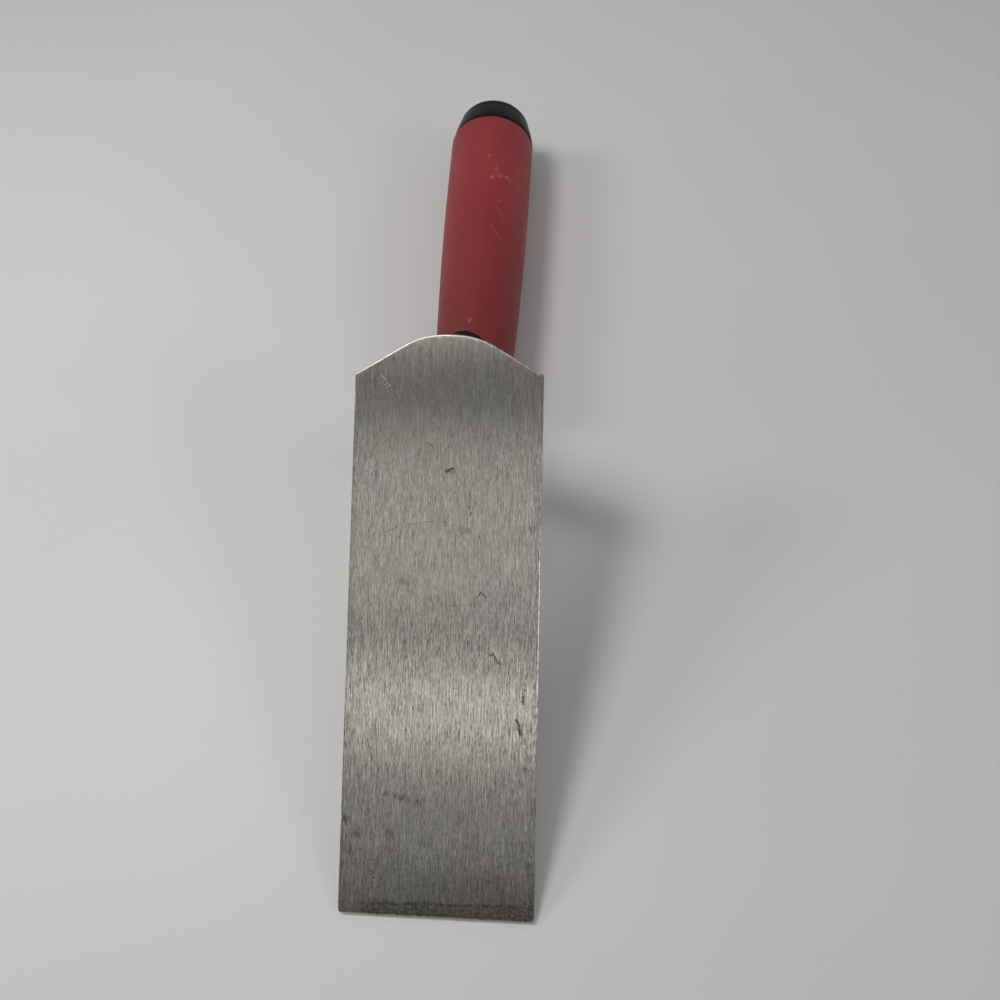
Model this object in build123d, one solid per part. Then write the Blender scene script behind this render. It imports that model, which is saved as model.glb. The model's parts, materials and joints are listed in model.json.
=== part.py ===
"""Margin trowel with a rectangular steel blade and a soft red grip on a black core.

The trowel lies on its back: the edge of the blade's tip and the back of the handle touch
the ground at z = 0, and the blade's work face looks up.  +Y runs from the tip to the butt,
+X lies across the blade, and +Z is up.  The origin is under the middle of the whole tool.

Every piece is drawn in the tool's own frame first.  There the work face lies in the XY
plane, the tip is at Y = 0, and the handle is on the far side of the blade, at negative Z.
The handle's pieces are drawn about the handle's own axis, with Z running to the butt.
"""
from build123d import *
import math
import os

# Blade: flat plate with a square tip and a crowned heel
blade_length = 152.4
blade_width = 50.8
blade_thickness = 1.5
tip_corner_radius = 0.6
heel_crown_radius = 22.5
heel_flank_angle = 31.0
heel_cusp_radius = 15.0
heel_cusp_angle = 22.0
blade_edge_radius = 0.25

# Handle axis: height behind the work face where it passes the heel, and slope away from it
axis_drop_at_heel = 56.0
axis_slope = 24.8

# Handle stations along its axis, counted from where the axis passes under the heel
collar_front = -10.0
grip_front = -5.0
scallop_end = 8.0
grip_back = 107.5
cap_end = 121.5
handle_waist = 0.0
handle_swell = 53.75

# Handle radii
waist_radius = 12.65
swell_radius = 14.75
butt_radius = 15.4
collar_inset = 1.3
flush_inset = 0.4
collar_nose_radius = 3.5
grip_wall = 3.0
grip_lip_radius = 1.0
scallop_radius = 12.0
scallop_clocking = 18.0
cap_cone_radius = 13.5
cap_round_radius = 4.5
cap_seat_depth = 8.5
cap_seat_radius = 9.0
core_groove_stations = (24.0, 48.0, 72.0, 96.0)
core_groove_width = 4.0
core_groove_depth = 1.2

# Shank: foot under the blade, round neck with one bend, square tapered tang
foot_front = 84.0
foot_back = 132.0
foot_width = 19.0
foot_tip_thickness = 2.0
foot_root_thickness = 5.0
neck_station = 120.0
neck_radius = 4.75
neck_bend_radius = 15.0
neck_root_radius = 4.0
tang_start = -4.0
tang_end = 82.0
tang_root_width = 6.4
tang_end_width = 4.2
weld_leg = 1.6


def handle_plane():
    """Plane across the handle where its axis passes under the heel; +Y faces the palm."""
    slope = math.radians(axis_slope)
    along = Vector(0, math.cos(slope), -math.sin(slope))
    return Plane(origin=(0, blade_length, -axis_drop_at_heel), x_dir=(1, 0, 0), z_dir=along)


def outer_arc(inset):
    """Long arc of the handle's outer profile, moved inwards by inset."""
    return ThreePointArc(
        (waist_radius - inset, handle_waist),
        (swell_radius - inset, handle_swell),
        (butt_radius - inset, grip_back),
    )


def outer_radius(station, inset=0.0):
    """Radius at a station of the circle through the waist, swell and butt points."""
    arc = outer_arc(inset)
    centre = arc.arc_center
    return centre.X + math.sqrt(arc.radius**2 - (station - centre.Y) ** 2)


def profile_arc(start, end, inset):
    """Piece of the handle's outer profile between two stations, moved inwards by inset."""
    middle = (start + end) / 2
    return ThreePointArc(
        (outer_radius(start, inset), start),
        (outer_radius(middle, inset), middle),
        (outer_radius(end, inset), end),
    )


def turned(edges):
    """Solid of revolution about the handle's axis of a closed profile in radius and station."""
    profile = make_face(Curve() + edges)
    upright = Plane.XZ * profile
    return revolve(upright, Axis.Z)


def on_handle(shape):
    """Carry a shape from the handle's own frame into the tool's frame."""
    return handle_plane().location * shape


def make_blade():
    """Plate with a round crown at the heel that runs through flanks to two shallow cusps."""
    flank = math.radians(heel_flank_angle)
    cusp = math.radians(heel_cusp_angle)
    half_width = blade_width / 2
    crown_x = heel_crown_radius * math.sin(flank)
    crown_y = blade_length - heel_crown_radius * (1 - math.cos(flank))
    cusp_x = half_width - heel_cusp_radius * (math.sin(flank) - math.sin(cusp))
    cusp_y = crown_y - (cusp_x - crown_x) * math.tan(flank)
    corner_y = cusp_y - heel_cusp_radius * (math.cos(cusp) - math.cos(flank))
    down_the_flank = (math.cos(flank), -math.sin(flank))
    half = Curve() + [
        TangentArc((0, blade_length), (crown_x, crown_y), tangent=(1, 0)),
        Line((crown_x, crown_y), (cusp_x, cusp_y)),
        TangentArc((cusp_x, cusp_y), (half_width, corner_y), tangent=down_the_flank),
        Line((half_width, corner_y), (half_width, 0)),
        Line((half_width, 0), (0, 0)),
    ]
    outline = make_face(half + mirror(half, about=Plane.YZ))
    corners = outline.vertices().filter_by(lambda v: abs(v.X) > half_width - 0.01)
    plate = extrude(fillet(corners, tip_corner_radius), -blade_thickness)
    return fillet(plate.edges().group_by(Axis.Z)[-1], blade_edge_radius)


def foot_plan(margin):
    """Outline of the shank's foot on the blade's back, grown by a margin."""
    length = foot_back - foot_front
    middle = (foot_front + foot_back) / 2
    outline = SlotOverall(length + 2 * margin, foot_width + 2 * margin, rotation=90)
    return Pos(0, middle, -blade_thickness) * outline


def make_foot():
    """Foot plate that thickens from its tip to the neck."""
    slab = extrude(foot_plan(0), -foot_root_thickness)
    back = -blade_thickness
    wedge = make_face(
        Polyline(
            (foot_front, back),
            (foot_back, back),
            (foot_back, back - foot_root_thickness),
            (neck_station - 2 * neck_radius, back - foot_root_thickness),
            (foot_front, back - foot_tip_thickness),
            close=True,
        )
    )
    return slab & extrude(Plane.YZ * wedge, foot_width, both=True)


def neck_path():
    """Centre line of the neck, from the blade's back round the bend to the tang's root."""
    plane = handle_plane()
    run = (neck_station - blade_length) / plane.z_dir.Y
    corner = plane.origin + plane.z_dir * run
    turn = math.radians(90 - axis_slope)
    setback = neck_bend_radius * math.tan(turn / 2)
    bottom = Vector(0, neck_station, -blade_thickness - foot_root_thickness / 2)
    bend_start = corner + Vector(0, 0, setback)
    bend_end = corner + plane.z_dir * setback
    root = plane.origin + plane.z_dir * tang_start
    return Wire(
        [
            Edge.make_line(bottom, bend_start),
            Edge.make_tangent_arc(bend_start, Vector(0, 0, -1), bend_end),
            Edge.make_line(bend_end, root),
        ]
    )


def make_tang():
    """Square tang that tapers towards its end."""
    root = Pos(0, 0, tang_start) * Rectangle(tang_root_width, tang_root_width)
    end = Pos(0, 0, tang_end) * Rectangle(tang_end_width, tang_end_width)
    return on_handle(loft([root, end]))


def make_shank():
    """Forged foot, neck and tang in one piece, with a blend where the neck leaves the foot."""
    path = neck_path()
    section = Plane(origin=path @ 0, z_dir=path % 0) * Circle(neck_radius)
    foot_and_neck = make_foot() + sweep(section, path)
    face_height = -blade_thickness - foot_root_thickness
    root_edges = [
        edge
        for edge in foot_and_neck.edges().filter_by(GeomType.CIRCLE)
        if abs(edge.center().Z - face_height) < 0.01 and abs(edge.radius - neck_radius) < 0.01
    ]
    blended = fillet(root_edges, neck_root_radius)
    return blended + make_tang()


def make_weld(shank):
    """Fillet bead that runs round the foot on the blade's back."""
    bead = extrude(foot_plan(weld_leg), -weld_leg, taper=45)
    return bead - shank


def scallop_bar():
    """Round bar across the handle, the shape of the grip's two front scallops."""
    bar = extrude(Plane.XZ * Circle(scallop_radius), 2 * butt_radius, both=True)
    placed = Pos(0, 0, scallop_end - scallop_radius) * bar
    return placed.rotate(Axis.Z, -scallop_clocking)


def collar_edges(inset):
    """Front face, rounded nose and side of the collar, ending at the scallops' back."""
    radius = outer_radius(collar_front, inset)
    nose = radius - collar_nose_radius
    nose_end = collar_front + collar_nose_radius
    return [
        Line((0, collar_front), (nose, collar_front)),
        TangentArc((nose, collar_front), (radius, nose_end), tangent=(1, 0)),
        Line((radius, nose_end), (outer_radius(scallop_end, inset), scallop_end)),
    ]


def flush_collar():
    """Collar that shows: a ring before the grip, and islands that fill its scallops."""
    back = outer_radius(scallop_end, flush_inset)
    whole = turned(
        collar_edges(flush_inset)
        + [
            Line((back, scallop_end), (0, scallop_end)),
            Line((0, scallop_end), (0, collar_front)),
        ]
    )
    ring_length = grip_front - collar_front
    ring_middle = Pos(0, 0, collar_front + ring_length / 2)
    return whole & (scallop_bar() + ring_middle * Cylinder(2 * butt_radius, ring_length))


def core_body():
    """Moulded core before its socket: collar, grooved body, and a spigot for the cap."""
    step = outer_radius(scallop_end, collar_inset)
    body_front = outer_radius(scallop_end, grip_wall)
    body_back = outer_radius(grip_back, grip_wall)
    spigot_end = grip_back + cap_seat_depth
    core = turned(
        collar_edges(collar_inset)
        + [
            Line((step, scallop_end), (body_front, scallop_end)),
            profile_arc(scallop_end, grip_back, grip_wall),
            Line((body_back, grip_back), (cap_seat_radius, grip_back)),
            Line((cap_seat_radius, grip_back), (cap_seat_radius, spigot_end)),
            Line((cap_seat_radius, spigot_end), (0, spigot_end)),
            Line((0, spigot_end), (0, collar_front)),
        ]
    )
    for station in core_groove_stations:
        outside = Pos(0, 0, station) * Cylinder(butt_radius, core_groove_width)
        floor = outer_radius(station, grip_wall) - core_groove_depth
        core -= outside - Pos(0, 0, station) * Cylinder(floor, core_groove_width)
    return core + flush_collar()


def make_core(shank):
    """Core with the socket that grips the shank's tang."""
    return on_handle(core_body()) - shank


def make_grip():
    """Soft sleeve over the core, with a rolled front lip and two front scallops."""
    lip = grip_lip_radius
    lip_end = grip_front + lip
    front = outer_radius(lip_end)
    sleeve = turned(
        [
            Line((0, grip_front), (front - lip, grip_front)),
            TangentArc((front - lip, grip_front), (front, lip_end), tangent=(1, 0)),
            profile_arc(lip_end, grip_back, 0),
            Line((butt_radius, grip_back), (0, grip_back)),
            Line((0, grip_back), (0, grip_front)),
        ]
    )
    return on_handle(sleeve - scallop_bar() - core_body())


def make_cap():
    """Butt cap: short cone with a round shoulder, seated on the core's spigot."""
    round_start = cap_end - cap_round_radius
    cap = turned(
        [
            Line((0, grip_back), (butt_radius, grip_back)),
            Line((butt_radius, grip_back), (cap_cone_radius, round_start)),
            TangentArc(
                (cap_cone_radius, round_start),
                (cap_cone_radius - cap_round_radius, cap_end),
                tangent=(0, 1),
            ),
            Line((cap_cone_radius - cap_round_radius, cap_end), (0, cap_end)),
            Line((0, cap_end), (0, grip_back)),
        ]
    )
    return on_handle(cap - core_body())


def resting_angle():
    """Slope of the blade when the tip's edge and the back of the handle share one floor."""
    plane = handle_plane()
    palm_side = plane.y_dir
    steepest = 0.0
    stations = int(grip_back - grip_front)
    for step in range(stations * 10):
        station = grip_front + step / 10
        point = plane.origin + plane.z_dir * station + palm_side * outer_radius(station)
        steepest = max(steepest, math.atan2(-point.Z - blade_thickness, point.Y))
    return math.degrees(steepest)


def main():
    shank = make_shank()
    pieces = {
        "blade": make_blade(),
        "shank": shank,
        "foot_weld": make_weld(shank),
        "handle_core": make_core(shank),
        "soft_grip": make_grip(),
        "end_cap": make_cap(),
    }
    tilt = Rotation(resting_angle(), 0, 0)
    box = Compound([tilt * piece for piece in pieces.values()]).bounding_box()
    settle = Pos(0, -box.center().Y, -box.min.Z) * tilt
    os.makedirs("parts", exist_ok=True)
    for name, piece in pieces.items():
        export_step(settle * piece, f"parts/{name}.step")
    print("resting angle", round(resting_angle(), 3))
    print("size", box.size)
    print("shift", round(-box.center().Y, 3), round(-box.min.Z, 3))


main()
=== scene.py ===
"""Margin trowel lying on its back on a pale table: red soft grip, black core, brushed blade.

Lengths below are in millimetres unless a name says otherwise; add_piece() turns them into
metres.  The tool frame has the blade's work face at z = 0, the tip at y = 0 and the handle
at negative z.  The handle frame has z along the handle's axis, from the neck to the butt,
and y towards the palm side, away from the blade.
"""
import json
import math

import bpy
from mathutils import Matrix, Vector, noise


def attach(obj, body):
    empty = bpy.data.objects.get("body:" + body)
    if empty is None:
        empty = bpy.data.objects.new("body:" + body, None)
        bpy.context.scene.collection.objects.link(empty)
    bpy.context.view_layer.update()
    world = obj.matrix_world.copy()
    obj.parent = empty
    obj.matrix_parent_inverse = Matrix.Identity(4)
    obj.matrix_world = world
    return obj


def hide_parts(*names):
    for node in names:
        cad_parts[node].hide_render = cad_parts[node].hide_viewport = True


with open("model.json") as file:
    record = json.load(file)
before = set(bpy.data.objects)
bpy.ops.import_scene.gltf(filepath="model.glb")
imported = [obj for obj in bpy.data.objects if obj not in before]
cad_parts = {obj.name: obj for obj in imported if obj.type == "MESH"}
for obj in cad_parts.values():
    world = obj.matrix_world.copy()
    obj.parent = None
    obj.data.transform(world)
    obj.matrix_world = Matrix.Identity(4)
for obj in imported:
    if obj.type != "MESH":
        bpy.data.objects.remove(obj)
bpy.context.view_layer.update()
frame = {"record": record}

MM = 0.001

# Blade
BLADE_LENGTH = 152.4
BLADE_WIDTH = 50.8
BLADE_THICKNESS = 1.5
RIM_INSET = 0.5
BACK_EDGE_RADIUS = 0.3
TIP_CORNER_RADIUS = 0.8
CROWN_RADIUS = 22.5
FLANK_ANGLE = math.radians(31.0)
CUSP_RADIUS = 15.0
CUSP_ANGLE = math.radians(22.0)
WORK_FACE_MARK = 70.0

# Handle axis and stations along it
AXIS_DROP = 56.0
AXIS_SLOPE = math.radians(24.8)
COLLAR_FRONT = -10.0
GRIP_FRONT = -5.0
SCALLOP_END = 8.6
GRIP_BACK = 107.5
SPIGOT_END = 116.0
CAP_END = 121.5

# Handle radii
WAIST_RADIUS = 12.65
SWELL_RADIUS = 14.75
BUTT_RADIUS = 15.4
COLLAR_INSET = 1.3
FLUSH_INSET = 0.45
GRIP_WALL = 3.0
GRIP_LIP = 0.5
GRIP_BACK_ROUND = 0.35
GRIP_RELIEF = 0.06
CAP_CONE_RADIUS = 13.5
CAP_ROUND_RADIUS = 4.5
CAP_SEAT_RADIUS = 9.0
CAP_OFFSET = 0.2
SCALLOP_CLOCKING = math.radians(18.0)
LIP_GAP = 0.06

# Shank
FOOT_FRONT = 84.0
FOOT_BACK = 132.0
FOOT_WIDTH = 19.0
NECK_STATION = 120.0
NECK_RADIUS = 4.75
NECK_BEND_RADIUS = 15.0
TANG_START = -4.0
TANG_END = 82.0
TANG_ROOT_WIDTH = 6.4
TANG_END_WIDTH = 4.2

# Weld bead
WELD_LEG = 1.45
WELD_RIPPLE_PITCH = 1.25

# ---- frames from the record

record = frame["record"]
work_face = next(mount for mount in record["mounts"] if mount["name"] == "work_face")
face_normal = Vector(work_face["axis"])
tilt = math.atan2(-face_normal.y, face_normal.z)
blade_direction = Vector((0, math.cos(tilt), math.sin(tilt)))
tip_middle = Vector(work_face["pos_m"]) - blade_direction * WORK_FACE_MARK * MM
TOOL = Matrix.Translation(tip_middle) @ Matrix.Rotation(tilt, 4, "X")
AXIS_START = Matrix.Translation((0, BLADE_LENGTH * MM, -AXIS_DROP * MM))
HANDLE = TOOL @ AXIS_START @ Matrix.Rotation(-(math.pi / 2 + AXIS_SLOPE), 4, "X")


# ---- mesh helpers


def add_piece(name, verts, faces, place, material, node, sharp=40.0):
    """Make a mesh piece from millimetre vertices and hand it to the frame."""
    mesh = bpy.data.meshes.new(name)
    mesh.from_pydata([place @ (Vector(v) * MM) for v in verts], [], faces)
    mesh.validate()
    mesh.shade_smooth()
    mesh.set_sharp_from_angle(angle=math.radians(sharp))
    mesh.materials.append(material)
    piece = bpy.data.objects.new(name, mesh)
    bpy.context.scene.collection.objects.link(piece)
    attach(piece, "root")
    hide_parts(node)
    return piece


def around(count):
    """Angles of a ring's points, evenly spread from 0."""
    return [2 * math.pi * k / count for k in range(count)]


def quarter(steps):
    """Angles from 0 to a right angle in equal steps."""
    return [math.pi / 2 * step / steps for step in range(steps + 1)]


def neighbours(count):
    """Each place in a closed ring with the next one."""
    return [(k, (k + 1) % count) for k in range(count)]


def bridge(low, high, count):
    """Faces between two rings, given each ring's first vertex."""
    return [(low + k, low + j, high + j, high + k) for k, j in neighbours(count)]


def fan(start, count, middle, flip):
    """Triangles from a ring, given its first vertex, to a middle vertex."""
    if flip:
        return [(start + j, start + k, middle) for k, j in neighbours(count)]
    return [(start + k, start + j, middle) for k, j in neighbours(count)]


def rings_to_mesh(rings, close_ends=True):
    """Skin a list of rings with equal counts; the ends close on their middles."""
    count = len(rings[0])
    verts = [point for ring in rings for point in ring]
    faces = []
    for i in range(len(rings) - 1):
        faces += bridge(i * count, (i + 1) * count, count)
    if close_ends:
        for start, flip in ((0, True), ((len(rings) - 1) * count, False)):
            ring = verts[start:start + count]
            verts.append(sum((Vector(p) for p in ring), Vector()) / count)
            faces += fan(start, count, len(verts) - 1, flip)
    return verts, faces


def smooth(value):
    """Smooth step from 0 to 1."""
    value = max(0.0, min(1.0, value))
    return value * value * (3 - 2 * value)


# ---- node helpers


class Nodes:
    """Short calls for building a node tree."""

    def __init__(self, tree):
        self.tree = tree

    def add(self, kind, **values):
        """New node of a kind, with its settings."""
        node = self.tree.nodes.new(kind)
        for key, value in values.items():
            setattr(node, key, value)
        return node

    def join(self, source, target):
        """Link an output to an input."""
        self.tree.links.new(source, target)

    def feed(self, socket, value):
        """Give an input a link, or a number, vector or colour of its own."""
        if isinstance(value, bpy.types.NodeSocket):
            self.join(value, socket)
        elif socket.type == "RGBA":
            socket.default_value = (*value, 1.0)
        else:
            socket.default_value = value

    def fill(self, node, **values):
        """Feed a node's inputs by name; an underscore stands for a space."""
        for key, value in values.items():
            self.feed(node.inputs[key.replace("_", " ")], value)
        return node

    def ramp(self, value, low, high, out_low=0.0, out_high=1.0, smooth_step=True):
        """Value between low and high spread over out_low to out_high."""
        kind = "SMOOTHSTEP" if smooth_step else "LINEAR"
        node = self.add("ShaderNodeMapRange", interpolation_type=kind)
        self.fill(node, Value=value, From_Min=low, From_Max=high, To_Min=out_low, To_Max=out_high)
        return node.outputs["Result"]

    def math(self, operation, a, b=0.0, c=0.0):
        """One maths node."""
        node = self.add("ShaderNodeMath", operation=operation)
        for socket, value in zip(node.inputs, (a, b, c)):
            self.feed(socket, value)
        return node.outputs["Value"]

    def plus(self, a, b):
        """Sum of two values."""
        return self.math("ADD", a, b)

    def minus(self, a, b):
        """Difference of two values."""
        return self.math("SUBTRACT", a, b)

    def times(self, a, b):
        """Product of two values."""
        return self.math("MULTIPLY", a, b)

    def larger(self, a, b):
        """Larger of two values."""
        return self.math("MAXIMUM", a, b)

    def unsigned(self, a):
        """Value without its sign."""
        return self.math("ABSOLUTE", a)

    def swing(self, noise_value, half_range):
        """Noise from 0 to 1 spread to either side of zero."""
        return self.math("MULTIPLY_ADD", noise_value, 2 * half_range, -half_range)

    def vector_math(self, operation, a, b):
        """One vector node on two vectors."""
        node = self.add("ShaderNodeVectorMath", operation=operation)
        self.feed(node.inputs[0], a)
        self.feed(node.inputs[1], b)
        return node

    def mix(self, factor, a, b, blend="MIX"):
        """Colour mix of a and b."""
        node = self.add("ShaderNodeMix", data_type="RGBA", blend_type=blend)
        self.feed(node.inputs["Factor"], factor)
        self.feed(node.inputs[6], a)
        self.feed(node.inputs[7], b)
        return node.outputs[2]

    def shaded(self, colour, value):
        """Colour with all its channels multiplied by a value."""
        grey = self.fill(self.add("ShaderNodeCombineColor"), Red=value, Green=value, Blue=value)
        return self.mix(1.0, colour, grey.outputs["Color"], "MULTIPLY")


class Shader(Nodes):
    """One material's node tree, in the tool's or handle's frame."""

    def __init__(self, name, frame_of_piece=None):
        self.material = bpy.data.materials.new(name)
        self.material.use_nodes = True
        super().__init__(self.material.node_tree)
        self.bsdf = self.tree.nodes["Principled BSDF"]
        self.place = self.add("ShaderNodeTexCoord").outputs["Object"]
        if frame_of_piece is not None:
            undo = self.add("ShaderNodeMapping", vector_type="TEXTURE")
            location, rotation = frame_of_piece.to_translation(), frame_of_piece.to_euler("XYZ")
            self.fill(undo, Vector=self.place, Location=location, Rotation=rotation)
            self.place = undo.outputs["Vector"]

    def surface(self, **values):
        """Feed the material's own shader."""
        self.fill(self.bsdf, **values)

    def noise(self, scale, stretch=(1, 1, 1), detail=2.0, rough=0.5, offset=(0, 0, 0)):
        """Noise from 0 to 1 with scale cells a metre, stretched by one number an axis."""
        spread = self.add("ShaderNodeMapping")
        self.fill(spread, Vector=self.place, Scale=stretch, Location=offset)
        node = self.add("ShaderNodeTexNoise", normalize=True)
        self.fill(node, Vector=spread.outputs["Vector"], Scale=scale)
        self.fill(node, Detail=detail, Roughness=rough)
        return node.outputs["Fac"]

    def axes(self):
        """The frame's x, y and z in metres."""
        node = self.fill(self.add("ShaderNodeSeparateXYZ"), Vector=self.place)
        return node.outputs["X"], node.outputs["Y"], node.outputs["Z"]

    def bump(self, height, distance_mm, strength):
        """Normal of a surface raised by height times a distance."""
        node = self.add("ShaderNodeBump")
        self.fill(node, Height=height, Distance=distance_mm * MM, Strength=strength)
        return node.outputs["Normal"]

    def edge_of(self, distance, radius, soft):
        """1 out to a radius in mm, and 0 from a soft rim's width further out."""
        return self.ramp(distance, radius * MM, (radius + soft) * MM, 1.0, 0.0)

    def line_mask(self, start, end, width, soft, wobble):
        """1 on a straight scratch from start to end, in the frame's x and y in mm."""
        x, y, _ = self.axes()
        ax, ay = start[0] * MM, start[1] * MM
        dx, dy = end[0] * MM - ax, end[1] * MM - ay
        length = math.hypot(dx, dy)
        rx = self.minus(x, ax)
        ry = self.minus(y, ay)
        along = self.math("MULTIPLY_ADD", ry, dy / length, self.times(rx, dx / length))
        across = self.math("MULTIPLY_ADD", ry, dx / length, self.times(rx, -dy / length))
        across = self.plus(across, wobble)
        from_middle = self.unsigned(self.minus(along, length / 2))
        beyond = self.larger(self.minus(from_middle, length / 2), 0.0)
        return self.edge_of(self.larger(self.unsigned(across), beyond), width, soft)

    def spot_mask(self, centre, radius, soft, ragged, ragged_mm):
        """1 inside a round spot about a point in mm, with a ragged rim."""
        away = self.vector_math("DISTANCE", self.place, Vector(centre) * MM).outputs["Value"]
        return self.edge_of(self.plus(away, self.swing(ragged, ragged_mm * MM)), radius, soft)

    def scratch_mask(self, start, end, width, soft):
        """1 near the straight line between two points in mm."""
        begin = Vector(start) * MM
        line = Vector(end) * MM - begin
        from_start = self.vector_math("SUBTRACT", self.place, begin).outputs["Vector"]
        along = self.vector_math("DOT_PRODUCT", from_start, line.normalized()).outputs["Value"]
        held = self.math("MINIMUM", self.larger(along, 0.0), line.length)
        foot = self.add("ShaderNodeVectorMath", operation="SCALE")
        self.fill(foot, Vector=line.normalized(), Scale=held)
        away = self.vector_math("DISTANCE", from_start, foot.outputs["Vector"])
        return self.edge_of(away.outputs["Value"], width, soft)

    def any_of(self, masks):
        """Largest of several masks."""
        total = masks[0]
        for mask in masks[1:]:
            total = self.larger(total, mask)
        return total


# ---- materials


def brushed_grain(s):
    """Brush strokes along the blade that wander a little: fine, middle, broad, glints, pores."""
    x, y, z = s.axes()
    wander = s.swing(s.noise(80, detail=1.0, offset=(0, 5, 5)), 0.00025)
    shifted = s.fill(s.add("ShaderNodeCombineXYZ"), X=s.plus(x, wander), Y=y, Z=z)
    straight, s.place = s.place, shifted.outputs["Vector"]
    layers = (
        s.noise(6300, (1, 0.11, 1), 1.5, 0.6),
        s.noise(4300, (1, 0.042, 1), 1.5, 0.6, (3, 1, 0)),
        s.noise(900, (1, 0.09, 1), 2.0, 0.5, (7, 2, 0)),
        s.noise(4900, (1, 0.055, 1), 1.0, 0.5, (4, 9, 0)),
        s.noise(4200, (1, 0.20, 1), 2.0, 0.6, (9, 4, 0)),
    )
    s.place = straight
    return layers


def tip_film(s):
    """Masks of the dirt by the tip: brown film, bright rubbed patches and dark flow lines."""
    x, y, _ = s.axes()
    warp = s.swing(s.noise(90, (1, 0.2, 1), 4.0, 0.7, (9, 0, 0)), 0.0004)
    from_tip = s.plus(s.math("MULTIPLY_ADD", x, -0.022, y), warp)
    film = s.ramp(from_tip, 0.0028, 0.0042, 0.26, 0.0)
    film = s.times(film, s.ramp(x, -0.024, -0.012, 0.0, 1.0))
    haze = s.times(s.ramp(y, 0.002, 0.018, 0.20, 0.0), s.ramp(x, -0.014, 0.014))
    film = s.larger(film, haze)
    started = s.ramp(x, -0.0204, -0.0188, 0.12, 1.0)
    mottle = s.ramp(s.noise(1100, (1, 1.5, 1), 3.0, 0.7, (3, 3, 8)), 0.38, 0.62, 0.0, 0.66)
    strip = s.times(s.ramp(from_tip, 0.0030, 0.0036, 1.0, 0.0), started)
    film = s.larger(film, s.times(strip, mottle))
    torn = s.ramp(s.noise(420, (1, 3.4, 1), 4.0, 0.7, (4, 4, 4)), 0.36, 0.58, 0.25, 1.0)
    band = s.any_of([
        s.ramp(s.unsigned(s.minus(from_tip, at)), 0.0, half_width, strength, 0.0)
        for at, half_width, strength in TIP_BANDS
    ])
    band = s.times(s.times(band, torn), started)
    brown = s.larger(film, s.times(band, 0.74))
    rubbed = s.ramp(s.noise(520, (1, 2.2, 1), 4.0, 0.75, (1, 6, 4)), 0.53, 0.64)
    rubbed = s.times(rubbed, s.ramp(from_tip, 0.0030, 0.0034, 0.5, 0.0))
    flow = s.ramp(s.noise(330, (1, 4.0, 1), 3.0, 0.6, (8, 1, 4)), 0.52, 0.68)
    flow = s.times(flow, s.ramp(y, 0.006, 0.040, 0.24, 0.0))
    return brown, rubbed, flow


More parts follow.
